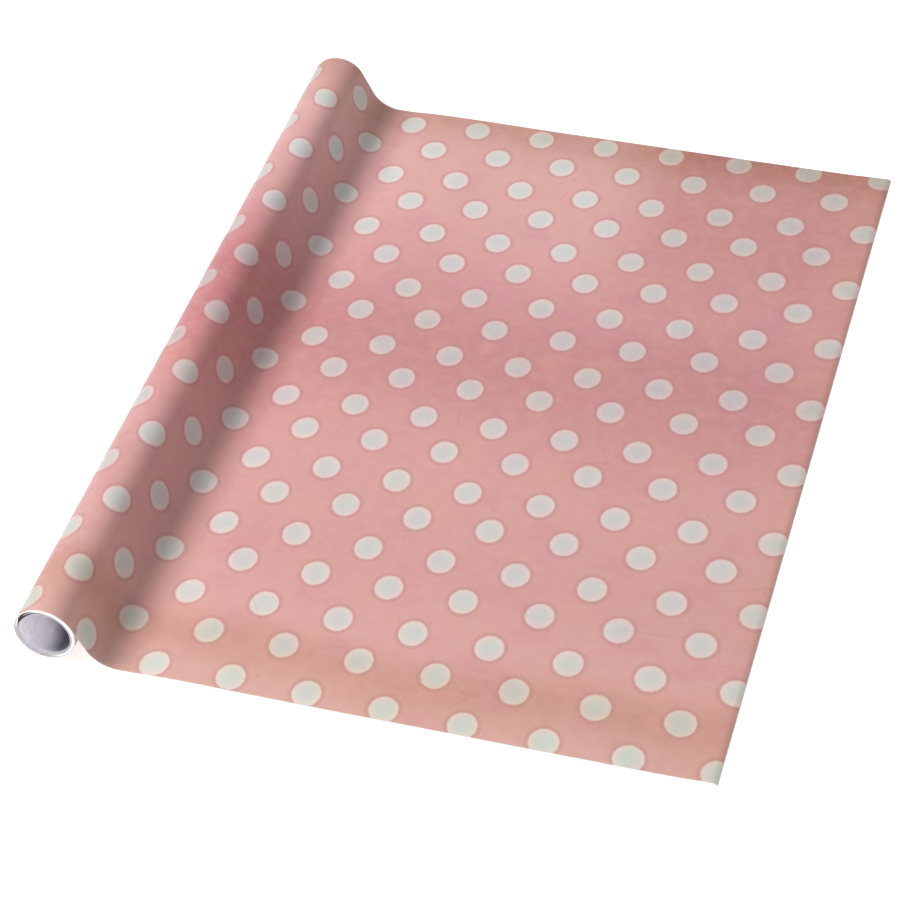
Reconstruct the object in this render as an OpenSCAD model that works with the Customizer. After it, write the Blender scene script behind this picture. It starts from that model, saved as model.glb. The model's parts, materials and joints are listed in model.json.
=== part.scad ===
// Wrapping paper roll lying on a table, with one end of its paper drawn off over the top.
// +X is the way the paper is drawn off, +Y runs along the roll, +Z is up.
// The origin is the centre of the footprint, on the table.

/* [Paper web] */
// Width of the paper, which is also the length of the roll
paper_w = 762; // [300:1:1000]
// Thickness of the solids that stand for the single sheet of paper
web_t = 0.4; // [0.3:0.05:1]

/* [Roll] */
// Radius of the bore through the core tube
core_bore_r = 21; // [12:0.5:40]
// Thickness of each of the core tube's two board plies
ply_t = 0.7; // [0.5:0.1:2]
// Radial depth of the turns wound tightly on the core
wound_depth = 2.2; // [1.8:0.1:12]
// Running gap between the tight turns and the loose outer turn
turn_gap = 0.3; // [0.2:0.05:1]
// How far the first turns stand off the core beside the starting tape
tent_depth = 1.6; // [0.5:0.1:1.6]
// Direction of the middle of that stand-off, from +X towards +Z
tent_direction = 130; // [0:5:355]
// Half the angle that the stand-off takes up
tent_half_angle = 32; // [20:1:45]

/* [Starting tape] */
// Width of the tape, around the core
tape_w = 8; // [4:0.5:9]
// Thickness of the tape
tape_t = 0.15; // [0.1:0.05:0.25]

/* [Drawn-off paper] */
// Steepness of the paper where it leaves the roll, below level
slope_angle = 63.4; // [45:0.1:75]
// Radius of the paper's bend where it meets the table
foot_r = 28; // [20:0.5:60]
// Flat paper from the end of that bend to the span that lengthens
foot_flat = 6; // [2:0.5:30]
// Span of paper that grows longer as the roll unwinds
fed_span_l = 216; // [190:1:400]
// Flat panel that slides away from the roll
near_l = 50; // [20:1:200]
// Panel that lifts from the near panel
mid_l = 100; // [40:1:300]
// Panel that curls up from the middle panel
end_l = 100; // [40:1:300]
// Slit between panels that move on each other
slit = 0.5; // [0.3:0.1:1.5]

/* [Hidden] */

smooth = 96;        // facets that a round preview gets
bend_steps = 24;    // flats that follow the bend at the foot

// Radii, from the bore outwards
seam_r = core_bore_r + ply_t;              // between the two plies
core_r = seam_r + ply_t;                   // outside of the core tube
wound_r = core_r + wound_depth;            // outside of the tight turns
loose_r = wound_r + turn_gap;              // inside of the loose outer turn
roll_r = loose_r + web_t;                  // outside of the whole roll

// The stand-off is cut by a smaller circle, shifted towards tent_direction. It meets the core's
// circle at tent_half_angle on either side and reaches tent_depth past it in the middle.
tent_reach = core_r + tent_depth;
tent_shift = (tent_reach^2 - core_r^2) / (2 * (tent_reach - core_r * cos(tent_half_angle)));
tent_r = tent_reach - tent_shift;

// The tape sits in the stand-off, on the side where the winding starts
tape_angle = tape_w / core_r * 180 / PI;
tape_edge_angle = 4;                       // from the middle of the stand-off to the tape
tape_start = tent_direction + tape_edge_angle;

// Places along X, measured from the roll's axis
foot_x = (roll_r + foot_r - (web_t + foot_r - roll_r) * cos(slope_angle)) / sin(slope_angle);
fed_x = foot_x + foot_flat;
near_x = fed_x + fed_span_l + slit;
mid_x = near_x + near_l + slit;
end_x = mid_x + mid_l + slit;
sheet_out = end_x + end_l;

// The roll's axis, placed so that the whole footprint is centred on the origin
axis_x = (roll_r - sheet_out) / 2;

// The loose turn stops short of the paper that leaves over it, by this angle, so that its
// end clears the sloping paper by about the running gap
leave_angle = 90 - slope_angle;
tuck_angle = acos(loose_r / (roll_r + turn_gap));

// Children are drawn in X and Z about the roll's axis, and run the whole length of the roll
module along_roll(axis_z) {
    translate([axis_x, 0, axis_z]) rotate([90, 0, 0]) children();
}

module tube(inner_r, outer_r) {
    along_roll(roll_r) difference() {
        cylinder(r = outer_r, h = paper_w, center = true, $fn = smooth);
        cylinder(r = inner_r, h = paper_w + 2, center = true, $fn = smooth);
    }
}

// A strip bent around the roll's axis, from one direction to another
module bent_strip(inner_r, thickness, from_angle, sweep) {
    along_roll(roll_r) rotate([0, 0, from_angle]) rotate_extrude(angle = sweep, $fn = smooth)
        translate([inner_r, -paper_w / 2]) square([thickness, paper_w]);
}

// One flat length of paper on the table
module flat_strip(from_x, length) {
    translate([axis_x + from_x, -paper_w / 2, 0]) cube([length, paper_w, web_t]);
}

// Board tube, wound from two strips: the inner one
module core_inner_ply() {
    color("#a9a4a8") tube(core_bore_r, seam_r);
}

// and the outer one, glued over it
module core_outer_ply() {
    color("#b9b4b2") tube(seam_r, core_r);
}

// Tape that holds the start of the paper on the core
module start_tape() {
    color("#e6e2d8") bent_strip(core_r, tape_t, tape_start, tape_angle);
}

// All the turns that lie tightly on each other, as one sleeve
module wound_turns() {
    color("#f1e6e4") difference() {
        tube(core_r, wound_r);
        along_roll(roll_r) rotate([0, 0, tent_direction]) translate([tent_shift, 0, 0])
            cylinder(r = tent_r, h = paper_w + 2, center = true, $fn = smooth);
    }
}

// The last turn, which hangs loosely round the others and lies on the table
module outer_turn() {
    color("#dba09b") bent_strip(loose_r, web_t, leave_angle, 360 - tuck_angle);
}

// A point on the bend at the foot, at a radius about the bend's centre
function foot_point(radius, angle) =
    [foot_x - radius * sin(angle), web_t + foot_r - radius * cos(angle)];

// A point where the paper leaves the roll, at a radius about the roll's axis
function leave_point(radius) = [radius * sin(slope_angle), roll_r + radius * cos(slope_angle)];

// The paper from the roll down to the table: straight slope, bend, and a short flat length
module web_slope() {
    printed_side = [for (i = [0 : bend_steps]) foot_point(foot_r, i * slope_angle / bend_steps)];
    plain_side = [for (i = [bend_steps : -1 : 0])
        foot_point(foot_r + web_t, i * slope_angle / bend_steps)];
    color("#c98f8b") along_roll(0) linear_extrude(height = paper_w, center = true)
        polygon(concat(
            [[fed_x, web_t]], printed_side, [leave_point(roll_r), leave_point(loose_r)],
            plain_side, [[fed_x, 0]]));
}

// Flat paper that has come off the roll and still feeds out
module fed_span() {
    color("#e0a7a4") flat_strip(fed_x, fed_span_l);
}

module near_panel() {
    color("#dba09b") flat_strip(near_x, near_l);
}

module mid_panel() {
    color("#d99a95") flat_strip(mid_x, mid_l);
}

module end_panel() {
    color("#dba09b") flat_strip(end_x, end_l);
}

core_inner_ply();
core_outer_ply();
start_tape();
wound_turns();
outer_turn();
web_slope();
fed_span();
near_panel();
mid_panel();
end_panel();
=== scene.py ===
# %% [markdown]
# # A roll of wrapping paper, drawn off across a table
# Gift wrap is sold as one long sheet, printed on one side and wound on a board tube. Here the
# roll lies on a table and about half a metre of its paper has been drawn off over the top. The
# sizes come from a CAD model that is loaded as a frame. Blender's work is what the CAD solids
# can't show: thin paper that is really wound, its faded print, and board that looks like board.
# Nothing in this lesson moves the frame. Each new piece is made where the frame says it belongs.

# %% Load the frame
import json
import math
import bmesh
import bpy
from mathutils import Matrix, Vector, noise


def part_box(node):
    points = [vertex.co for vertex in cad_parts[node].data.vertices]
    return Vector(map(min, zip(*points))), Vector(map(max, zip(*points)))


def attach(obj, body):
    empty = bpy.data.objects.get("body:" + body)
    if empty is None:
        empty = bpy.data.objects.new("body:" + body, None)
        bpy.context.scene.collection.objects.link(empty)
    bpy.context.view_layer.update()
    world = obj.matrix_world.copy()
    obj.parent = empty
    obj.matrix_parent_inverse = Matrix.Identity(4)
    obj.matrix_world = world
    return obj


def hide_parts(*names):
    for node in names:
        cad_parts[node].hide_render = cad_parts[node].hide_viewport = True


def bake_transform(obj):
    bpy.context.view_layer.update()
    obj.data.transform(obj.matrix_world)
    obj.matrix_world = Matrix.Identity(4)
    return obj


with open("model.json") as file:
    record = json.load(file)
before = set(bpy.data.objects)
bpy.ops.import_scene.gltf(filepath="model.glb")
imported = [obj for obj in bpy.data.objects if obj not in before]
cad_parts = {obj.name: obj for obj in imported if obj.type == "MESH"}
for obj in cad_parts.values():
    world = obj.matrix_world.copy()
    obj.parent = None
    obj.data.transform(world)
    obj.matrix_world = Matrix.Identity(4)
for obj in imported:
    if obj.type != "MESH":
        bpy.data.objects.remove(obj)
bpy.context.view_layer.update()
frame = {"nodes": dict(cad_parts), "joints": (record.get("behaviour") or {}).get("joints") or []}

# %% [markdown]
# ## The camera
# The camera stands a few steps away and has a long lens, so that the sheet's far side stays
# nearly as wide as its near side. The camera could be aimed by hand in the viewport, but
# numbers can be repeated: a place, a point on the table to look at, and a small tilt of the
# horizon. The view axis is turned with `to_track_quat`, and the tilt is one more turn about it.

# %% Camera
CAMERA_PLACE = Vector((0.5276, -1.8144, 1.6495))
LOOKS_AT = Vector((-0.0156, -0.0736, 0.0))
TILT = math.radians(-2.124)

camera = bpy.data.objects.new("camera", bpy.data.cameras.new("camera"))
bpy.context.scene.collection.objects.link(camera)
aim = (LOOKS_AT - CAMERA_PLACE).to_track_quat("-Z", "Y").to_matrix()
camera.matrix_world = Matrix.Translation(CAMERA_PLACE) @ (aim @ Matrix.Rotation(TILT, 3, "Z")).to_4x4()
camera.data.sensor_width = 36
camera.data.lens = 117.92
bpy.context.scene.camera = camera
print("camera stands", round((LOOKS_AT - CAMERA_PLACE).length, 2), "m from the paper")

# %% [markdown]
# ## Where the paper goes
# Seen from the end, the whole sheet is one line: flat on the table, up through a bend at the
# foot, along a short steep slope, and then round and round the core. So every place on the
# paper needs just two numbers. *Along* is how far it is from the roll's axis, measured along the
# paper, and *across* is how far it is from the front edge. The frame gives the radii and the
# places of the panels.

# %% Sizes from the frame
joints = {j["name"]: j for j in frame["joints"]}
axis = Vector(joints["roll_spin"]["pos_m"])
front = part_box("fed_span")[0].y
paper_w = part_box("fed_span")[1].y - front
roll_r = axis.z
wound_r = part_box("wound_turns")[1].z - axis.z
core_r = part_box("core_outer_ply")[1].z - axis.z
free_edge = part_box("end_panel")[1].x - axis.x
fed_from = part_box("fed_span")[0].x - axis.x
print("roll", round(roll_r * 2000, 1), "mm thick, paper", round(paper_w * 1000), "mm wide, free edge",
      round(free_edge * 1000, 1), "mm from the axis")

# %% [markdown]
# ## The line the paper follows
# The slope is straight and touches two circles: the roll and the bend at the foot. That makes
# its length and the bend's place plain trigonometry. The last two turns creep inwards like a
# watch spring, so that the end of the outer turn tucks in under the paper that leaves over it.

# %% The outer line
PAPER_T = 0.00026                      # thick enough for its cut edge to show as a white line
SLOPE = math.radians(63.4)             # how steeply the paper leaves the roll
FOOT_R = 0.0282                        # bend at the foot
OUTER_PITCH = 0.00029                  # how much the loose turns close in, each time round
LOOSE_TURNS = 1.94

outer_r = roll_r - PAPER_T / 2
slope_l = (roll_r + outer_r * math.cos(SLOPE) - PAPER_T / 2 - FOOT_R * (1 - math.cos(SLOPE))) / math.sin(SLOPE)
foot_x = (outer_r + FOOT_R) * math.sin(SLOPE) + slope_l * math.cos(SLOPE)
slope_from = foot_x - FOOT_R * SLOPE   # along: where the bend turns into the slope
leaves_at = slope_from - slope_l       # along: where the slope leaves the roll
leave_angle = math.pi / 2 - SLOPE
print("slope", round(slope_l * 1000, 1), "mm long, foot", round(foot_x * 1000, 1), "mm from the axis")


def outer_line(along):
    """Middle of the paper as (x from the axis, z), and the direction that its printed side faces."""
    if along >= foot_x:
        return along, PAPER_T / 2, math.pi / 2
    if along >= slope_from:
        turned = (foot_x - along) / FOOT_R
        return (foot_x - FOOT_R * math.sin(turned), PAPER_T / 2 + FOOT_R * (1 - math.cos(turned)),
                math.pi / 2 - turned)
    if along >= leaves_at:
        up = slope_from - along
        return (foot_x - FOOT_R * math.sin(SLOPE) - up * math.cos(SLOPE),
                PAPER_T / 2 + FOOT_R * (1 - math.cos(SLOPE)) + up * math.sin(SLOPE), leave_angle)
    back = (leaves_at - along) / outer_r
    r = outer_r - OUTER_PITCH * back / math.tau
    return r * math.cos(leave_angle + back), roll_r + r * math.sin(leave_angle + back), leave_angle + back

# %% [markdown]
# ## The wound turns
# Under the loose turns the paper is wound tightly. It starts as a flap taped to the core, and
# because the next turns ride over the flap and the tape, they stand a little way off the core
# there. The end of the roll shows it as a dark crescent. Each turn's radius is shared out
# evenly between the core, or the bulge where there is one, and the outside of the tight turns.

# %% Sizes of the winding
BULGE_MIDDLE = math.radians(130)
BULGE_HALF = math.radians(32)
BULGE_DEPTH = 0.0018
SLACK = 0.00018                        # what the loose turns stand off the tight ones, so those can turn
FILL = 0.8                             # how much of its share of the room each turn's paper takes
FLAP_FROM = math.radians(144)          # direction of the paper's taped start
TURNS = 8.0                            # whole turns, from that direction to the one the sheet leaves in
TIGHT_SWEEP = FLAP_FROM - leave_angle + (TURNS - LOOSE_TURNS) * math.tau   # up to the loose turns

print("turns on the core:", round(TIGHT_SWEEP / math.tau, 2))

# %% [markdown]
# The bulge is an arc that rises from the core and comes back to it. Its circle is smaller than
# the core's, and its middle is moved from the axis towards the bulge. Three known points give
# both: the top of the bulge and its two ends on the core.

# %% The wound line
bulge_shift = ((core_r + BULGE_DEPTH) ** 2 - core_r ** 2) / (
    2 * (core_r + BULGE_DEPTH - core_r * math.cos(BULGE_HALF)))
bulge_r = core_r + BULGE_DEPTH - bulge_shift


def bed_radius(direction, swept):
    """What the innermost turn lies on in a direction: the core, or the bulge once past the flap."""
    off = (direction - BULGE_MIDDLE + math.pi) % math.tau - math.pi
    if abs(off) >= BULGE_HALF or swept < math.pi:
        return core_r
    return bulge_shift * math.cos(off) + math.sqrt(bulge_r ** 2 - (bulge_shift * math.sin(off)) ** 2)


def wound_line(swept):
    """Middle of the paper as (x, z), the way it faces, and its thickness, after a sweep from its start."""
    direction = FLAP_FROM - swept
    bed = bed_radius(direction, swept)
    pitch = (wound_r - SLACK - bed) / (TIGHT_SWEEP / math.tau + FILL)
    r = bed + pitch * (swept / math.tau + FILL / 2)
    return r * math.cos(direction), roll_r + r * math.sin(direction), direction, FILL * pitch


mean_r = (core_r + wound_r) / 2
tight_l = mean_r * TIGHT_SWEEP
loose_l = outer_r * LOOSE_TURNS * math.tau
print("whole sheet", round(tight_l + loose_l + free_edge - leaves_at, 3), "m long")

# %% [markdown]
# ## From a flat sheet to a wound one
# Paper bends but doesn't stretch, so the honest way to model it is to cut it flat and then bend
# it. `create_grid` gives the flat sheet and `solidify` its thickness. While it is still flat,
# the sheet gets its UV map, in metres of real paper, so the print never slides or stretches
# when the sheet is wound. Faces that look up are the printed side; the back and the cut edges
# get the plain white paper. Last of all each vertex is carried to its place on the line.

# %% Cutting a flat sheet
PRINTED, PLAIN = 0, 1


def cut_sheet(along_from, along_to, columns, rows):
    """A flat slab of paper as a bmesh: x is along, y is across, z is 0 underneath and 1 on top."""
    sheet = bmesh.new()
    uv = sheet.loops.layers.uv.new("paper")
    bmesh.ops.create_grid(sheet, x_segments=columns, y_segments=rows, size=0.5)
    bmesh.ops.translate(sheet, vec=(0.5, 0.5, 0), verts=sheet.verts)
    bmesh.ops.scale(sheet, vec=(along_to - along_from, paper_w, 1), verts=sheet.verts)
    bmesh.ops.translate(sheet, vec=(along_from, 0, 0), verts=sheet.verts)
    bmesh.ops.recalc_face_normals(sheet, faces=sheet.faces)
    if sheet.faces[:][0].normal.z < 0:
        bmesh.ops.reverse_faces(sheet, faces=sheet.faces)
    bmesh.ops.solidify(sheet, geom=sheet.faces[:], thickness=1)
    low = min(v.co.z for v in sheet.verts)
    bmesh.ops.translate(sheet, vec=(0, 0, -low), verts=sheet.verts)
    sheet.normal_update()
    for face in sheet.faces:
        face.material_index = PRINTED if face.normal.z > 0.5 else PLAIN
        face.smooth = True
        for loop in face.loops:
            loop[uv].uv = loop.vert.co.xy
    for edge in sheet.edges:
        edge.smooth = edge.calc_face_angle(0) < 0.5
    return sheet

# %% From a bmesh to a piece
def finish_piece(sheet, name, materials):
    """Turns a bmesh into an object in the scene, at the origin, with its place in its mesh."""
    mesh = bpy.data.meshes.new(name)
    sheet.to_mesh(mesh)
    sheet.free()
    piece = bpy.data.objects.new(name, mesh)
    bpy.context.scene.collection.objects.link(piece)
    for material in materials:
        mesh.materials.append(material)
    print(name, "has", len(mesh.polygons), "faces")
    return piece

# %% [markdown]
# ## Shader helpers
# Every finish here is built from nodes, and typing each link by hand is slow. `add` makes one
# node and plugs in its inputs, whether they are plain values or another node's output. The
# others are short names for nodes that come up again and again.

# %% Shader helpers
def add(tree, kind, inputs=None, **settings):
    made = tree.nodes.new(kind)
    for name, value in settings.items():
        setattr(made, name, value)
    for socket, value in (inputs or {}).items():
        if isinstance(value, bpy.types.NodeSocket):
            tree.links.new(value, made.inputs[socket])
        else:
            made.inputs[socket].default_value = value
    return made


def maths(tree, operation, a, b=0.0):
    return add(tree, "ShaderNodeMath", {0: a, 1: b}, operation=operation).outputs[0]


def vector(tree, operation, a, **more):
    sockets = {0: a}
    sockets.update({int(k[1:]): v for k, v in more.items()})
    made = add(tree, "ShaderNodeVectorMath", sockets, operation=operation)
    return made.outputs["Value"] if operation == "LENGTH" else made.outputs["Vector"]


def fade(tree, value, low, high, to_low=0.0, to_high=1.0):
    """Smooth step: to_low at low, to_high at high."""
    return add(tree, "ShaderNodeMapRange", {0: value, 1: low, 2: high, 3: to_low, 4: to_high},
               interpolation_type="SMOOTHSTEP").outputs[0]


def blend_colours(tree, factor, a, b, mode="MIX"):
    made = add(tree, "ShaderNodeMix", {0: factor, 6: a, 7: b}, data_type="RGBA", blend_type=mode)
    return made.outputs[2]


def cloud(tree, place, scale, detail=2.0, roughness=0.5):
    return add(tree, "ShaderNodeTexNoise", {"Vector": place, "Scale": scale, "Detail": detail,
                                            "Roughness": roughness}).outputs["Fac"]


def tone(tree, factor, colour, by):
    """Multiplies a colour by another, as far as factor says. It is how shade is painted here."""
    return blend_colours(tree, factor, colour, (*by, 1), "MULTIPLY")


def srgb(red, green, blue):
    """A colour given in screen values, 0 to 255, as the linear colour that shaders work in."""
    parts = [c / 255 for c in (red, green, blue)]
    return tuple([c / 12.92 if c <= 0.04045 else ((c + 0.055) / 1.055) ** 2.4 for c in parts] + [1.0])


print("half grey on screen is", round(srgb(128, 128, 128)[0], 2), "to a shader")

# %% [markdown]
# ## Groups and materials
# A node group is a small finish of its own, with named sockets, that several materials can
# share. Each group here hands out a colour, a gloss and a height, and a material only has to
# plug those three into its Principled shader, with a Bump node for the height.

# %% Group and material helpers
def new_group(name, inputs, outputs):
    """An empty node group: (tree, its input sockets, its output node). Sockets are (name, kind, value)."""
    tree = bpy.data.node_groups.new(name, "ShaderNodeTree")
    for socket, kind, value in inputs:
        made = tree.interface.new_socket(socket, in_out="INPUT", socket_type="NodeSocket" + kind)
        if value is not None:
            made.default_value = value
    for socket, kind in outputs:
        tree.interface.new_socket(socket, in_out="OUTPUT", socket_type="NodeSocket" + kind)
    return tree, tree.nodes.new("NodeGroupInput").outputs, tree.nodes.new("NodeGroupOutput")


def use_group(tree, group, inputs):
    return add(tree, "ShaderNodeGroup", inputs, node_tree=group).outputs


def new_material(name, base, roughness, specular=0.5):
    """A material with one Principled shader: (material, tree, shader)."""
    material = bpy.data.materials.new(name)
    material.use_nodes = True
    tree = material.node_tree
    shader = tree.nodes["Principled BSDF"]
    shader.inputs["Base Color"].default_value = base
    shader.inputs["Roughness"].default_value = roughness
    shader.inputs["Specular IOR Level"].default_value = specular
    material.diffuse_color = base
    return material, tree, shader


def plug_in(tree, shader, look, strength, distance):
    """Joins a group's colour, gloss and height to a shader."""
    bump = add(tree, "ShaderNodeBump", {"Strength": strength, "Distance": distance, "Height": look["Height"]})
    tree.links.new(look["Color"], shader.inputs["Base Color"])
    tree.links.new(look["Gloss"], shader.inputs["Roughness"])
    tree.links.new(bump.outputs["Normal"], shader.inputs["Normal"])

# %% [markdown]
# ## Paper grain
# Under a lens, paper is a felt of short fibres pressed flat. Two noises, one fine and one very
# fine, give its surface a faint tooth, and the same noise makes its gloss slightly uneven. Both
# the print and the plain side use it, so it is a group.

# %% Paper grain group
grain, grain_in, grain_out = new_group(
    "paper grain",
    [("Place", "Vector", None), ("Tooth", "Float", 1.0)],
    [("Height", "Float"), ("Fleck", "Float")])
fine = cloud(grain, grain_in["Place"], 900.0, 3.0)
coarse = cloud(grain, grain_in["Place"], 160.0, 2.0)
both = maths(grain, "ADD", maths(grain, "MULTIPLY", fine, 0.6), maths(grain, "MULTIPLY", coarse, 0.4))
grain.links.new(maths(grain, "MULTIPLY", both, grain_in["Tooth"]), grain_out.inputs["Height"])
grain.links.new(maths(grain, "SUBTRACT", both, 0.5), grain_out.inputs["Fleck"])
print("paper grain group has", len(grain.nodes), "nodes")

# %% [markdown]
# ## The dots
# The print is a staggered dot pattern: two square-on grids of ovals, the second one shifted by
# about half a step both ways. Vector Math's *Wrap* folds the whole sheet into one cell, so a
# single oval is drawn once and shows up everywhere. A little noise on the place makes each
# outline slightly uneven, as ink on soft paper is.

# %% Dot group
PITCH_ALONG, PITCH_ACROSS = 0.06203, 0.08185
DOT_ALONG, DOT_ACROSS = 0.01129, 0.01311
FIRST_DOT = Vector((0.3600, 0.1391, 0))
SECOND_DOT = FIRST_DOT + Vector((0.0328, 0.0386, 0))
LEAN = 0.0067                          # how far the columns of dots lean off square

dots, dots_in, dots_out = new_group(
    "printed dots", [("Place", "Vector", None), ("Paper", "Vector", None)],
    [("Mask", "Float"), ("Ring", "Float"), ("From Middle", "Float")])
wobble = add(dots, "ShaderNodeTexNoise", {"Vector": dots_in["Paper"], "Scale": 210.0, "Detail": 2.0})
wobble = vector(dots, "SCALE", vector(dots, "SUBTRACT", wobble.outputs["Color"], _1=(0.5, 0.5, 0.5)))
wobble.node.inputs["Scale"].default_value = 0.0011
print("dot step", round(PITCH_ALONG * 1000, 1), "by", round(PITCH_ACROSS * 1000, 1), "mm")

# %% [markdown]
# ## A print that isn't quite true
# A cheap print drifts. Its columns of dots lean a little off square, the artwork is a few
# millimetres larger at the free edge than at the roll, and it creeps sideways where the paper
# goes onto the roll. Moving single dots by hand would be hopeless, so the drift is a short
# formula in two numbers, which run from -1 to 1 over the drawn-off sheet, and it is added to a
# point's place before the fold. The drift always belongs to the paper. That matters on the one
# span of this model whose dots stay put in the room: they still meet at both of its ends.

# %% Drift of the print
SHEET_MIDDLE, SHEET_HALF = 0.2511, 0.280   # along: the drawn-off sheet
ON_ROLL = -1.07                        # the formula stops changing here, where the roll turns away


def sum_of(tree, terms):
    """Adds up terms. Each is a number, and the sockets that multiply it."""
    total = 0.0
    for number, *factors in terms:
        for factor in factors:
            number = maths(tree, "MULTIPLY", factor, number)
        total = maths(tree, "ADD", total, number)
    return total


spot = add(dots, "ShaderNodeSeparateXYZ", {0: dots_in["Paper"]}).outputs
length = maths(dots, "DIVIDE", maths(dots, "SUBTRACT", spot["X"], SHEET_MIDDLE), SHEET_HALF)
length = maths(dots, "MAXIMUM", length, ON_ROLL)
width = maths(dots, "DIVIDE", maths(dots, "SUBTRACT", spot["Y"], paper_w / 2), paper_w / 2)
leaning = maths(dots, "MULTIPLY", maths(dots, "SUBTRACT", spot["Y"], FIRST_DOT.y), LEAN * 1000)
creep = fade(dots, spot["X"], -0.01, 0.15, 7.5, 0.0)
far_side_along = fade(dots, spot["X"], -0.031, -0.023, -2.0, 0.0)
far_side_across = fade(dots, spot["X"], -0.031, -0.023, -4.4, 0.0)
drift_along = sum_of(dots, [
    (1.27,), (-0.89, width, width), (4.97, length), (-4.25, length, length),
    (-5.31, length, width, width), (-7.19, length, length, length), (1.0, leaning), (1.0, far_side_along)])
drift_across = sum_of(dots, [
    (0.21,), (0.79, width), (3.09, width, width), (-0.83, length), (-6.56, length, width),
    (-3.16, length, length), (1.0, creep), (1.0, far_side_across)])
drift = add(dots, "ShaderNodeCombineXYZ", {0: drift_along, 1: drift_across}).outputs[0]
drift = vector(dots, "MULTIPLY", drift, _1=(0.001, 0.001, 0))   # it was in millimetres
print("the columns of dots lean", round(LEAN * paper_w * 1000, 1), "mm over the sheet's width")

# %% [markdown]
# ## Folding the sheet into one dot
# Now each grid of dots is folded into its own cell, and the nearer of the two middles counts.
# The group gives the mask, a ring just outside it where the ink is a little stronger, and how
# far from the middle of the dot a point is.

# %% One dot, everywhere
place = vector(dots, "ADD", vector(dots, "ADD", dots_in["Place"], _1=wobble), _1=drift)
reach = []
for middle in (FIRST_DOT, SECOND_DOT):
    shifted = vector(dots, "SUBTRACT", place, _1=tuple(middle))
    cell = vector(dots, "WRAP", shifted, _1=(PITCH_ALONG / 2, PITCH_ACROSS / 2, 1),
                  _2=(-PITCH_ALONG / 2, -PITCH_ACROSS / 2, -1))
    flat_cell = vector(dots, "MULTIPLY", cell, _1=(1 / DOT_ALONG, 1 / DOT_ACROSS, 0))
    reach.append(vector(dots, "LENGTH", flat_cell))
nearest = maths(dots, "MINIMUM", *reach)
dots.links.new(fade(dots, nearest, 1.07, 0.93), dots_out.inputs["Mask"])
ring = maths(dots, "MULTIPLY", fade(dots, nearest, 0.98, 1.10), fade(dots, nearest, 1.42, 1.14))
dots.links.new(ring, dots_out.inputs["Ring"])
dots.links.new(nearest, dots_out.inputs["From Middle"])
print("printed dots group has", len(dots.nodes), "nodes")

# %% [markdown]
# ## The faded pink
# The ground isn't one pink. It is printed to look old: rosy in the middle of the sheet, tan
# towards both long edges, cloudy all over, with hairline creases and small specks. A colour
# ramp across the sheet gives the wide bands, noise bends them so they aren't ruled lines, and
# a Voronoi texture's cell borders, broken up by more noise, make the creases.

# %% Faded ground group
BANDS = [   # how far across the sheet, from its front edge, and the colour there
    (0.000, (226, 178, 169)), (0.035, (214, 162, 148)), (0.060, (207, 153, 139)), (0.085, (211, 157, 146)),
    (0.110, (226, 172, 168)), (0.213, (214, 158, 156)), (0.330, (220, 165, 163)), (0.410, (218, 161, 160)),
    (0.475, (210, 151, 151)), (0.555, (202, 141, 143)), (0.610, (205, 144, 146)), (0.680, (214, 154, 156)),
    (0.800, (226, 172, 172)), (0.900, (228, 177, 174)), (0.950, (218, 168, 162)), (0.975, (208, 158, 148)),
    (1.000, (200, 150, 136)),
]

ground, ground_in, ground_out = new_group(
    "faded ground", [("Place", "Vector", None), ("Sheet Width", "Float", 1.0)],
    [("Color", "Color"), ("Crease", "Float"), ("Cloud", "Float")])
broad = cloud(ground, ground_in["Place"], 5.5, 3.0)
middling = cloud(ground, ground_in["Place"], 22.0, 3.0, 0.6)
split = add(ground, "ShaderNodeSeparateXYZ", {0: ground_in["Place"]})
across = maths(ground, "DIVIDE", split.outputs["Y"], ground_in["Sheet Width"])
bent = maths(ground, "ADD", across, maths(ground, "MULTIPLY", maths(ground, "SUBTRACT", broad, 0.5), 0.10))
ramp = add(ground, "ShaderNodeValToRGB", {0: bent})
ramp.color_ramp.interpolation = "B_SPLINE"
while len(ramp.color_ramp.elements) < len(BANDS):
    ramp.color_ramp.elements.new(0.5)
for element, (position, colour) in zip(ramp.color_ramp.elements, BANDS):
    element.position = position
    element.color = srgb(*colour)
tan = blend_colours(ground, fade(ground, middling, 0.48, 0.70, 0.0, 0.34), ramp.outputs["Color"], srgb(222, 165, 146))
rose = blend_colours(ground, fade(ground, middling, 0.50, 0.30, 0.0, 0.34), tan, srgb(214, 146, 156))

# %% [markdown]
# Wide patches lie over the ground: a darker, browner one towards the far corner, a deeper rose
# one across the middle beside the roll, partly print and partly painted shade on the shaded band
# there, a tan strip along the free edge, and painted shade that darkens the paper on the roll
# itself. Each is a smooth mask made from *along* and *across*, multiplied over the ground. Then
# the whole print gets a fine mottle, so that no patch of it is flat.

# %% Patches
along = split.outputs["X"]
corner = maths(ground, "MULTIPLY", fade(ground, along, 0.265, 0.365), fade(ground, across, 0.64, 0.88))
toned = tone(ground, maths(ground, "MULTIPLY", corner, 0.85), rose, (0.80, 0.655, 0.655))
far_edge = maths(ground, "MULTIPLY", corner, fade(ground, across, 0.93, 1.0))
toned = tone(ground, far_edge, toned, (0.93, 0.90, 0.85))
# Partly print, partly painted shade: the middle of the shaded band beside the roll is deeper rose.
beside = maths(ground, "MULTIPLY", fade(ground, along, 0.14, -0.02),
               maths(ground, "MULTIPLY", fade(ground, across, 0.28, 0.46), fade(ground, across, 0.72, 0.58)))
toned = tone(ground, beside, toned, (0.98, 0.82, 0.84))
toned = blend_colours(ground, fade(ground, along, 0.47, 0.53, 0.0, 0.30), toned, srgb(212, 156, 140))
# Painted shade: the paper well round the roll, on its side towards the key lamp, is darkened.
toned = tone(ground, fade(ground, along, -0.016, -0.050), toned, (0.71, 0.74, 0.74))
print("four patches and a strip lie over", len(BANDS), "bands of colour")

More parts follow.
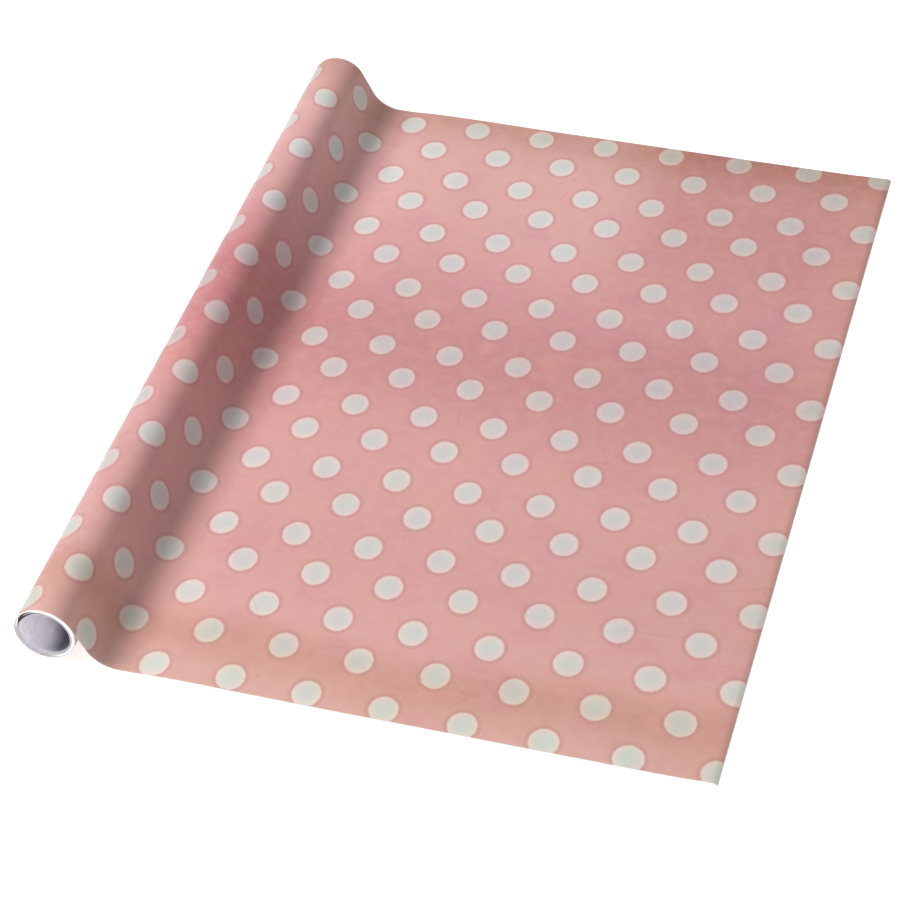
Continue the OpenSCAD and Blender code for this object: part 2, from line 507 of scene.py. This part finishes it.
# %% Mottle, creases and specks
mottle = cloud(ground, ground_in["Place"], 75.0, 4.0, 0.65)
toned = blend_colours(ground, fade(ground, mottle, 0.38, 0.68, 0.0, 0.16), toned, srgb(234, 186, 182))
cells = add(ground, "ShaderNodeTexVoronoi", {"Vector": ground_in["Place"], "Scale": 9.0},
            feature="DISTANCE_TO_EDGE", voronoi_dimensions="2D")
broken = fade(ground, cloud(ground, ground_in["Place"], 16.0, 2.0), 0.52, 0.66)
crease = maths(ground, "MULTIPLY", fade(ground, cells.outputs["Distance"], 0.012, 0.0), broken)
toned = blend_colours(ground, maths(ground, "MULTIPLY", crease, 0.20), toned, srgb(176, 118, 118))
speck = add(ground, "ShaderNodeTexVoronoi", {"Vector": ground_in["Place"], "Scale": 62.0},
            feature="F1", voronoi_dimensions="2D")
small = maths(ground, "MULTIPLY", fade(ground, speck.outputs["Distance"], 0.10, 0.03),
              fade(ground, cloud(ground, ground_in["Place"], 31.0, 1.0), 0.58, 0.66))
toned = blend_colours(ground, maths(ground, "MULTIPLY", small, 0.28), toned, srgb(168, 120, 112))
ground.links.new(toned, ground_out.inputs["Color"])
ground.links.new(crease, ground_out.inputs["Crease"])
ground.links.new(middling, ground_out.inputs["Cloud"])
print("faded ground group has", len(ground.nodes), "nodes")

# %% [markdown]
# ## The printed side
# One group puts the dots on the ground. The dots are off-white, a touch warmer towards their
# rims and more cream near the long edges of the sheet, where the whole print turns tan, and on
# the roll they get painted shade, as the ground does there. The printer stops just short of the
# cut, so a hair of white paper is left all round. The group takes two places: *Paper* for
# everything that belongs to the sheet, and *Dots*, because one span of this model stretches and
# its dots must not.

# %% Printed paper group
MARGIN = 0.0007

artwork, artwork_in, artwork_out = new_group(
    "dotted print",
    [("Paper", "Vector", None), ("Dots", "Vector", None), ("Sheet Width", "Float", 1.0),
     ("Free Edge", "Float", 1.0), ("Brightness", "Float", 1.0)],
    [("Color", "Color"), ("Gloss", "Float"), ("Height", "Float")])
ground_use = use_group(artwork, ground, {"Place": artwork_in["Paper"], "Sheet Width": artwork_in["Sheet Width"]})
dots_use = use_group(artwork, dots, {"Place": artwork_in["Dots"], "Paper": artwork_in["Paper"]})
grain_use = use_group(artwork, grain, {"Place": artwork_in["Paper"], "Tooth": 1.0})
dot_white = blend_colours(artwork, fade(artwork, dots_use["From Middle"], 0.35, 1.0),
                          srgb(206, 201, 198), srgb(225, 202, 197))
# The dots follow the ground's tone, which holds its print bands and its painted shade on the roll.
shade = vector(artwork, "DIVIDE", ground_use["Color"], _1=srgb(214, 156, 154)[:3])
dot_white = blend_colours(artwork, 0.65, dot_white, shade, "MULTIPLY")
place = add(artwork, "ShaderNodeSeparateXYZ", {0: artwork_in["Paper"]}).outputs
# Painted shade: the dots on the roll are darkened further.
on_roll = fade(artwork, place["X"], -0.018, -0.045)
dot_white = tone(artwork, on_roll, dot_white, (0.86, 0.84, 0.84))
inked = blend_colours(artwork, maths(artwork, "MULTIPLY", dots_use["Ring"], 0.30), ground_use["Color"],
                      srgb(178, 136, 132))
inked = blend_colours(artwork, dots_use["Mask"], inked, dot_white)
ragged = maths(artwork, "SUBTRACT", cloud(artwork, artwork_in["Paper"], 60.0, 2.0), 0.5)
ragged = maths(artwork, "MULTIPLY", ragged, 0.0008)
to_front = maths(artwork, "ADD", place["Y"], ragged)
to_back = maths(artwork, "SUBTRACT", maths(artwork, "SUBTRACT", artwork_in["Sheet Width"], place["Y"]), ragged)
to_free = maths(artwork, "SUBTRACT", artwork_in["Free Edge"], place["X"])
inside = maths(artwork, "MINIMUM", maths(artwork, "MINIMUM", to_front, to_back), to_free)
printed = fade(artwork, inside, MARGIN * 0.8, MARGIN * 1.3)
sheet_colour = blend_colours(artwork, printed, srgb(238, 234, 231), inked)
brightness = add(artwork, "ShaderNodeCombineXYZ", {i: artwork_in["Brightness"] for i in range(3)}).outputs[0]
lit = blend_colours(artwork, 1.0, sheet_colour, brightness, "MULTIPLY")
artwork.links.new(lit, artwork_out.inputs["Color"])
shine = maths(artwork, "ADD", maths(artwork, "MULTIPLY", grain_use["Fleck"], 0.30),
              maths(artwork, "MULTIPLY", ground_use["Cloud"], 0.12))
artwork.links.new(maths(artwork, "ADD", shine, 0.46), artwork_out.inputs["Gloss"])
raised = maths(artwork, "SUBTRACT", maths(artwork, "MULTIPLY", grain_use["Height"], 0.5), ground_use["Crease"])
artwork.links.new(raised, artwork_out.inputs["Height"])
print("dotted print group has", len(artwork.nodes), "nodes")

# %% [markdown]
# ## Two printed materials
# The wound and lifted parts of the sheet take the dots from the UV map, which follows the paper
# wherever it bends. The fed span is different. When the roll feeds out, that span gets longer,
# because paper comes off the roll. Real paper isn't rubber, so its dots come from where it is
# in the room, and only the soft clouds stretch with it.

# %% Printed materials
def printed_material(name, dots_from_room):
    material, tree, shader = new_material(name, (0.66, 0.34, 0.33, 1), 0.5, 0.22)
    paper = add(tree, "ShaderNodeUVMap", uv_map="paper").outputs["UV"]
    dot_place = paper
    if dots_from_room:
        room = add(tree, "ShaderNodeTexCoord").outputs["Object"]
        dot_place = vector(tree, "SUBTRACT", room, _1=(axis.x, front, 0))
    look = use_group(tree, artwork, {"Paper": paper, "Dots": dot_place, "Sheet Width": paper_w,
                                     "Free Edge": free_edge, "Brightness": 0.90})
    plug_in(tree, shader, look, strength=0.35, distance=0.0002)
    return material


print_on_sheet = printed_material("printed_side", False)
print_on_span = printed_material("printed_side_fed", True)
print("made", print_on_sheet.name, "and", print_on_span.name)

# %% [markdown]
# ## The plain side
# The back and the cut edges are white, uncoated paper. Thin stock lets a ghost of the print
# through, so the back takes the same artwork and keeps only a few parts in a hundred of it. The
# innermost turn is the back wall of the dark crescent, a gap too narrow for light to fill, so
# its back is made almost black, apart from the hair of it at the very edge.

# %% Plain side material
INMOST_TURN = leaves_at - loose_l - tight_l + core_r * math.tau * 1.05   # along: where that turn ends

plain, tree, shader = new_material("plain_side", (0.86, 0.84, 0.83, 1), 0.7, 0.3)
paper = add(tree, "ShaderNodeUVMap", uv_map="paper").outputs["UV"]
look = use_group(tree, artwork, {"Paper": paper, "Dots": paper, "Sheet Width": paper_w,
                                 "Free Edge": free_edge, "Brightness": 1.0})
grain_look = use_group(tree, grain, {"Place": paper, "Tooth": 1.0})
white = blend_colours(tree, fade(tree, grain_look["Fleck"], -0.2, 0.2), srgb(236, 232, 229), srgb(246, 244, 242))
side = blend_colours(tree, 0.07, white, look["Color"])
bump = add(tree, "ShaderNodeBump", {"Strength": 0.4, "Distance": 0.0002, "Height": grain_look["Height"]})
tree.links.new(bump.outputs["Normal"], shader.inputs["Normal"])
spot = add(tree, "ShaderNodeSeparateXYZ", {0: paper}).outputs
inmost = fade(tree, spot["X"], INMOST_TURN + 0.004, INMOST_TURN)
for edge, inner in ((0.0002, 0.0007), (paper_w - 0.0002, paper_w - 0.0007)):
    inmost = maths(tree, "MULTIPLY", inmost, fade(tree, spot["Y"], edge, inner))
side = tone(tree, inmost, side, (0.03, 0.03, 0.03))
print("the innermost turn ends", round(-INMOST_TURN * 1000), "mm back along the paper")

# %% [markdown]
# At the roll's ends the cut edges of the turns are stepped and rough. The light comes from above,
# so painted shade makes the lower left of the stack grey. That shade is taken from the place in
# the room, not from the paper, because it mustn't turn with the roll.

# %% Cut edges of the turns
room = add(tree, "ShaderNodeTexCoord").outputs["Object"]
from_axis = vector(tree, "MULTIPLY", vector(tree, "SUBTRACT", room, _1=axis), _1=(1, 0, 1))
radius = vector(tree, "LENGTH", from_axis)
split = add(tree, "ShaderNodeSeparateXYZ", {0: from_axis}).outputs
to_light = maths(tree, "DIVIDE", maths(tree, "ADD", split["X"], split["Z"]), radius)   # -1.4 at the lower left
on_the_roll = fade(tree, radius, outer_r + 0.002, outer_r + 0.001)
# Painted shade: the cut edges at the lower left of the roll are greyed, darkest next to the core.
edge_shade = maths(tree, "MULTIPLY", fade(tree, to_light, -0.45, -1.05), on_the_roll)
cut_edge = maths(tree, "ADD", fade(tree, spot["Y"], 0.0003, 0.0001),
                 fade(tree, spot["Y"], paper_w - 0.0003, paper_w - 0.0001))
edge_shade = maths(tree, "MULTIPLY", edge_shade, cut_edge)
outward = fade(tree, radius, core_r, outer_r)
edge_shade_grey = blend_colours(tree, outward, (0.34, 0.33, 0.36, 1), (0.62, 0.61, 0.63, 1))
tree.links.new(blend_colours(tree, edge_shade, side, edge_shade_grey, "MULTIPLY"), shader.inputs["Base Color"])
print("made", plain.name)

# %% [markdown]
# ## The loose turns and the slope
# This is the part of the sheet that the eye follows: two loose turns, the steep run down to the
# table and the bend at its foot. Columns are close together, because a facet on a 25 mm roll
# would catch the light. The long edges of the turns don't line up perfectly on a real roll, so
# they wander by a few tenths of a millimetre once the paper is on the roll.

# %% Carry the sheet to its place
STRAY = 0.0003                         # the most that a turn's edge wanders


def stray(swept):
    """How far a turn's edges have slipped along the roll."""
    return STRAY * noise.noise(Vector((swept * 0.7, 3.1, 0)))


def lay(sheet, line, lift=None):
    """Carries a cut sheet to a line. line(along) gives x, z, facing and thickness."""
    for v in sheet.verts:
        along, across, top = v.co
        x, z, facing, thick = line(along)
        high = (top - 0.5) * thick + (lift(along, across) if lift else 0.0)
        v.co = (axis.x + x + high * math.cos(facing), front + across, z + high * math.sin(facing))

# %% Loose turns and slope
def outer_with_thickness(along):
    return (*outer_line(along), PAPER_T)


loose_from = leaves_at - loose_l
lead = cut_sheet(loose_from, fed_from, columns=260, rows=72)
for v in lead.verts:
    if v.co.x < leaves_at:
        on_roll = leaves_at - v.co.x
        v.co.y += min(1.0, on_roll / 0.05) * (stray(on_roll / outer_r) - STRAY / 2)
lay(lead, outer_with_thickness)
lead_piece = finish_piece(lead, "paper_lead", [print_on_sheet, plain])
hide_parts("outer_turn", "web_slope")
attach(lead_piece, "web")

# %% [markdown]
# ## The paper on the table
# Paper that has been on a roll never lies dead flat. It keeps low, wide swells, under a
# millimetre high, that show as soft changes of shade. The sheet is cut into three pieces,
# because the model can feed, lift and curl: each piece stands in for its own panels of the
# frame and meets its neighbour at a seam.

# %% Swells
SWELL = 0.0007                         # height of the swells
BOW = 0.0012                           # how far the curl of the roll holds the paper off the table
EDGE_R = 0.0020                        # radius of the free edge's downward curl
EDGE_TURN = math.radians(75)           # how far it has turned at the very edge


def ease(value, low, high):
    t = min(1.0, max(0.0, (value - low) / (high - low)))
    return t * t * (3 - 2 * t)


def swell(along, across):
    """Height of the sheet over the table."""
    wide = noise.noise(Vector((along * 7.0, across * 4.5, 0.7)))
    small = noise.noise(Vector((along * 17.0 + 5, across * 12.0, 2.3)))
    height = SWELL * max(0.0, 0.42 + 0.75 * wide + 0.25 * small) * ease(along, foot_x + 0.02, foot_x + 0.10)
    height *= 1 - ease(along, free_edge - 0.045, free_edge - 0.004)
    bow = BOW * ease(along, foot_x + 0.006, foot_x + 0.042) * (1 - ease(along, 0.11, 0.24))
    return height + bow


def flat_line(along):
    """The sheet on the table. Its free edge keeps the curl of the roll, and turns down to the table."""
    turned = max(0.0, along - (free_edge - EDGE_TURN * EDGE_R)) / EDGE_R
    height = EDGE_R * (1 - math.cos(EDGE_TURN)) * ease(along, free_edge - 0.045, free_edge - 0.004)
    return (along - turned * EDGE_R + EDGE_R * math.sin(turned),
            PAPER_T / 2 + height - EDGE_R * (1 - math.cos(turned)), math.pi / 2 - turned, PAPER_T)

# %% Three flat pieces
FED_TO, NEAR_TO = 0.310, 0.421
stations = [("paper_fed_span", fed_from, FED_TO, print_on_span, ["fed_span"]),
            ("paper_near_and_mid", FED_TO, NEAR_TO, print_on_sheet, ["near_panel", "mid_panel"]),
            ("paper_end", NEAR_TO, free_edge, print_on_sheet, ["end_panel"])]
flats = {}
for name, begins, ends, material, nodes in stations:
    sheet = cut_sheet(begins, ends, columns=max(12, round((ends - begins) / 0.0035)), rows=150)
    lay(sheet, flat_line, swell)
    flats[name] = finish_piece(sheet, name, [material, plain])
    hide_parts(*nodes)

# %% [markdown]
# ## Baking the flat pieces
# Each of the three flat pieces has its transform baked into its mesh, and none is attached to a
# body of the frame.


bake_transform(flats["paper_fed_span"])
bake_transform(flats["paper_near_and_mid"])
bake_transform(flats["paper_end"])
print("three flat pieces, seams at", FED_TO * 1000, "and", NEAR_TO * 1000, "mm from the axis")

# %% [markdown]
# ## The tight turns
# The rest of the sheet is one long spiral with its printed side out. It is cut flat and wound
# like the others, but its line gives it a thickness too, because the turns are packed closer
# together where they ride over the bulge. The turns' edges slip a little, each by its own
# amount, which is what makes the end of a paper roll look like a stack of sheets.

# %% Tight turns
def wound_with_thickness(along):
    return wound_line((along - wound_from) / mean_r)


wound_from = loose_from - tight_l
tight = cut_sheet(wound_from, loose_from, columns=620, rows=24)
for v in tight.verts:
    slipped = 1.6 * stray((v.co.x - wound_from) / mean_r * 0.8 + 40)
    v.co.y += slipped - STRAY * math.copysign(1, v.co.y - paper_w / 2)
lay(tight, wound_with_thickness)
tight_piece = finish_piece(tight, "paper_tight_turns", [print_on_sheet, plain])
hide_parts("wound_turns")
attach(tight_piece, "roll")

# %% [markdown]
# ## The core
# The tube is two strips of grey board, wound in a helix and glued one over the other. Its shape
# is already right in CAD, so those two solids stay and only get their finish. The seam of a
# spiral-wound tube is a fine line that climbs round it. Its angle round the axis plus its
# distance along it, wrapped to one strip width, is zero exactly on the seam.

# %% Board group
SEAM_SCALE = 75.0                      # turns a share of the strip's width into about a millimetre

board, board_in, board_out = new_group(
    "wound board",
    [("Place", "Vector", None), ("Strip Width", "Float", 0.075), ("Start", "Float", 0.0),
     ("Half Length", "Float", 0.381)],
    [("Color", "Color"), ("Gloss", "Float"), ("Height", "Float")])
split = add(board, "ShaderNodeSeparateXYZ", {0: board_in["Place"]}).outputs
turn = maths(board, "DIVIDE", maths(board, "ARCTAN2", split["Z"], split["X"]), math.tau)
climb = maths(board, "ADD", maths(board, "DIVIDE", split["Y"], board_in["Strip Width"]), board_in["Start"])
in_strip = maths(board, "FRACT", maths(board, "ADD", turn, climb))
seam = maths(board, "MINIMUM", in_strip, maths(board, "SUBTRACT", 1.0, in_strip))
seam = maths(board, "MULTIPLY", seam, SEAM_SCALE)
gap = fade(board, seam, 0.40, 0.10)
stretch = vector(board, "MULTIPLY", board_in["Place"], _1=(1.0, 0.35, 1.0))
fibre = cloud(board, stretch, 420.0, 4.0, 0.7)
patch = cloud(board, board_in["Place"], 38.0, 3.0)
colour = blend_colours(board, fade(board, fibre, 0.30, 0.70), srgb(213, 209, 218), srgb(227, 223, 232))
colour = blend_colours(board, fade(board, patch, 0.40, 0.65, 0.0, 0.35), colour, srgb(210, 203, 206))
fleck = add(board, "ShaderNodeTexVoronoi", {"Vector": stretch, "Scale": 260.0}, feature="F1")
flecks = fade(board, fleck.outputs["Distance"], 0.22, 0.08, 0.0, 0.30)
colour = blend_colours(board, flecks, colour, srgb(180, 173, 175))
colour = blend_colours(board, maths(board, "MULTIPLY", gap, 0.7), colour, srgb(120, 114, 118))
print("fibres, flecks and seam take", len(board.nodes), "nodes")

# %% [markdown]
# ## Board in the dark
# Hardly any light finds its way along a narrow tube, so shade is painted into the board by where
# it is: further in, and on the wall that faces away from the lamps. The outside of the tube is
# shut in by the paper, and where it shows through the crescent it is painted as good as black.
# The two cut ends are made darker, and the part of a cut end that lies beside the crescent
# shares the crescent's painted shade, deepest in the middle and tapering to both sides.

# %% Where the board is in the dark
CORE_WALL = 0.0014
FLAP_SHADE_TURN, FLAP_SHADE_HALF = 0.375, 0.092   # middle and half width, in turns round the axis

past_end = maths(board, "SUBTRACT", maths(board, "ABSOLUTE", split["Y"]), board_in["Half Length"])
# Painted shade: the board darkens further into the tube.
colour = tone(board, fade(board, past_end, -0.024, -0.090), colour, (0.30, 0.30, 0.31))
away = maths(board, "MULTIPLY", fade(board, turn, -0.31, -0.17), fade(board, turn, 0.10, -0.02))
away = maths(board, "MULTIPLY", away, fade(board, past_end, -0.0005, -0.004))
# Painted shade on the wall of the bore that faces away from the lamps.
colour = tone(board, away, colour, (0.26, 0.26, 0.28))
from_axis = vector(board, "LENGTH", vector(board, "MULTIPLY", board_in["Place"], _1=(1, 0, 1)))
shut_in = maths(board, "MULTIPLY", fade(board, from_axis, core_r - 0.0002, core_r - 0.0001),
                fade(board, past_end, -0.0001, -0.0006))
# Painted shade: the outside of the tube, where it shows through the crescent, is nearly black.
colour = tone(board, shut_in, colour, (0.03, 0.03, 0.03))
# The two cut ends of the board are made darker.
cut_end_face = fade(board, past_end, -0.0003, -0.0001)
colour = tone(board, cut_end_face, colour, (0.52, 0.51, 0.52))
beside = maths(board, "DIVIDE", maths(board, "SUBTRACT", turn, FLAP_SHADE_TURN), FLAP_SHADE_HALF)
beside = maths(board, "POWER", beside, 2.0)
depth = maths(board, "SUBTRACT", core_r - 0.0001, from_axis)
depth = maths(board, "ADD", depth, maths(board, "MULTIPLY", beside, CORE_WALL))   # the taper
under_flap = maths(board, "MULTIPLY", fade(board, depth, CORE_WALL, CORE_WALL - 0.0003), cut_end_face)
# Painted shade: the cut end beside the crescent is nearly black.
colour = tone(board, under_flap, colour, (0.04, 0.04, 0.045))
board.links.new(colour, board_out.inputs["Color"])
board.links.new(maths(board, "ADD", maths(board, "MULTIPLY", fibre, 0.2), 0.65), board_out.inputs["Gloss"])
board.links.new(maths(board, "SUBTRACT", maths(board, "MULTIPLY", fibre, 0.5), gap), board_out.inputs["Height"])


print("wound board group has", len(board.nodes), "nodes in all")

# %% Board on the two plies
def board_material(name, strip_width, start):
    material, tree, shader = new_material(name, (0.35, 0.33, 0.35, 1), 0.75, 0.25)
    room = add(tree, "ShaderNodeTexCoord").outputs["Object"]
    about_axis = vector(tree, "SUBTRACT", room, _1=(axis.x, front + paper_w / 2, axis.z))
    look = use_group(tree, board, {"Place": about_axis, "Strip Width": strip_width, "Start": start,
                                   "Half Length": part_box("core_inner_ply")[1].y - front - paper_w / 2})
    plug_in(tree, shader, look, strength=0.6, distance=0.0003)
    return material


def refinish(node, material):
    """Puts a material on every slot of a CAD node, and leaves its mesh as it is."""
    piece = frame["nodes"][node]
    for slot in piece.material_slots:
        slot.material = material
    print(node, "now has", material.name)


refinish("core_inner_ply", board_material("board_inner", 0.075, 0.61))
refinish("core_outer_ply", board_material("board_outer", 0.080, 0.5))

# %% [markdown]
# ## The starting tape
# A strip of clear, satin tape holds the flap on the core. Hardly any of it shows, at the two
# ends of the crescent, but it is there on a real roll. The CAD strip stays and gets a slightly
# yellowed film with tiny trapped bubbles, and then painted shade makes it as dark as the gap
# that it lies in.

# %% Tape
tape, tree, shader = new_material("tape_film", srgb(226, 220, 204), 0.35, 0.1)
room = add(tree, "ShaderNodeTexCoord").outputs["Object"]
bubbles = add(tree, "ShaderNodeTexVoronoi", {"Vector": room, "Scale": 420.0}, feature="F1").outputs["Distance"]
haze = cloud(tree, room, 90.0, 3.0)
film = blend_colours(tree, fade(tree, haze, 0.35, 0.65), srgb(218, 211, 192), srgb(232, 228, 216))
film = blend_colours(tree, fade(tree, bubbles, 0.25, 0.12, 0.0, 0.5), film, srgb(240, 238, 232))
# Painted shade: the tape is made nearly black, as the gap that it lies in.
film = tone(tree, 1.0, film, (0.05, 0.05, 0.05))
tree.links.new(film, shader.inputs["Base Color"])
tree.links.new(fade(tree, haze, 0.3, 0.7, 0.28, 0.42), shader.inputs["Roughness"])
bump = add(tree, "ShaderNodeBump", {"Strength": 0.3, "Distance": 0.0001, "Height": bubbles})
tree.links.new(bump.outputs["Normal"], shader.inputs["Normal"])
refinish("start_tape", tape)

# %% [markdown]
# ## The table and the light
# A plain white table and a plain white room. The table glows a little, which keeps it white in
# the roll's shadow, as a table in a catalogue is. One large soft lamp stands to the left, about
# as high as it is far away, so the roll throws its shadow down the slope and a little way
# onto the sheet. A weaker one in front lights the cut edges, and the room's own light fills the
# shadow.

# %% Table
GLOW = 0.52

floor_mesh = bmesh.new()
bmesh.ops.create_grid(floor_mesh, x_segments=8, y_segments=8, size=3.0)
bmesh.ops.translate(floor_mesh, vec=(0, 0, -0.0001), verts=floor_mesh.verts)
table_top, tree, shader = new_material("table_top", (0.93, 0.93, 0.93, 1), 0.8, 0.1)
room = add(tree, "ShaderNodeTexCoord").outputs["Object"]
tree.links.new(blend_colours(tree, cloud(tree, room, 3.0), (0.92, 0.92, 0.92, 1), (0.94, 0.94, 0.94, 1)),
               shader.inputs["Base Color"])
shader.inputs["Emission Color"].default_value = (1, 1, 1, 1)
shader.inputs["Emission Strength"].default_value = GLOW
floor = finish_piece(floor_mesh, "table", [table_top])

# %% [markdown]
# ## Lamps
# Both lamps are square area lamps, because a small source would give the roll a hard-edged
# shadow. Placing one by an angle above the table and a compass angle is easier to think about
# than coordinates, so a helper turns the angles into a place and aims the lamp.

# %% Light
def soft_lamp(name, towards, height, turned, distance, size, watts):
    """A square lamp aimed at a point. It stands height degrees up, and turned degrees from -X towards -Y."""
    height, turned = math.radians(height), math.radians(turned)
    lamp = bpy.data.objects.new(name, bpy.data.lights.new(name, "AREA"))
    lamp.data.shape = "SQUARE"
    lamp.data.size = size
    lamp.data.energy = watts
    away = Vector((-math.cos(height) * math.cos(turned), -math.cos(height) * math.sin(turned),
                   math.sin(height)))
    lamp.location = Vector(towards) + away * distance
    lamp.rotation_mode = "QUATERNION"
    lamp.rotation_quaternion = (-away).to_track_quat("-Z", "Y")
    bpy.context.scene.collection.objects.link(lamp)
    return lamp


key = soft_lamp("key_lamp", (axis.x, 0, 0), height=46.5, turned=8, distance=4.0, size=1.5, watts=176)
front_lamp = soft_lamp("front_lamp", (0, 0, 0), height=20, turned=102, distance=6.0, size=2.0, watts=90)
print("key lamp at", [round(c, 2) for c in key.location])

# %% [markdown]
# ## The tube's own lamp
# The inside of a tube would be nearly black, so it gets a little light of its own, as if a
# white card stood beside it. It shines in from the side, so it dies away towards the other
# side, where one looks deeper into the tube. Blender's light linking keeps it off everything
# else. A light's receiver collection lists the only objects that it reaches, or, with *Exclude*
# on its members, those that it doesn't, and that second way keeps the lamp in front, which
# would shine straight down the tube, off the board.

# %% A lamp for the inside of the tube
bore_lamp = soft_lamp("bore_lamp", (axis.x, front, 0.03), height=21, turned=130, distance=3.0, size=0.8, watts=62)
plies = [frame["nodes"]["core_inner_ply"], frame["nodes"]["core_outer_ply"]]
inside_only = bpy.data.collections.new("lit_by_bore_lamp")
for piece in plies + [tight_piece]:
    inside_only.objects.link(piece)
bore_lamp.light_linking.receiver_collection = inside_only
not_the_tube = bpy.data.collections.new("not_lit_by_front_lamp")
for piece in plies:
    not_the_tube.objects.link(piece)
for linked in not_the_tube.collection_objects:
    linked.light_linking.link_state = "EXCLUDE"
front_lamp.light_linking.receiver_collection = not_the_tube

# %% [markdown]
# ## The room
# The world is the room's own soft light. It is dim as a light, or there would be no shadows,
# but the camera should see plain white behind the table. The Light Path node tells the two
# apart: its *Is Camera Ray* is 1 only for what the camera looks at directly. The view
# transform is *Standard*, so a colour in a material comes out as that colour on screen.

# %% The room
ROOM = 0.33                            # how bright the room is as a light

world = bpy.data.worlds.new("white_room")
world.use_nodes = True
room_light = world.node_tree.nodes["Background"]
room_light.inputs["Color"].default_value = (1, 1, 1, 1)
seen = add(world.node_tree, "ShaderNodeLightPath").outputs["Is Camera Ray"]
strength = maths(world.node_tree, "ADD", ROOM, maths(world.node_tree, "MULTIPLY", seen, 1 - ROOM))
world.node_tree.links.new(strength, room_light.inputs["Strength"])
bpy.context.scene.world = world
bpy.context.scene.view_settings.view_transform = "Standard"
print("the room's light is", ROOM)
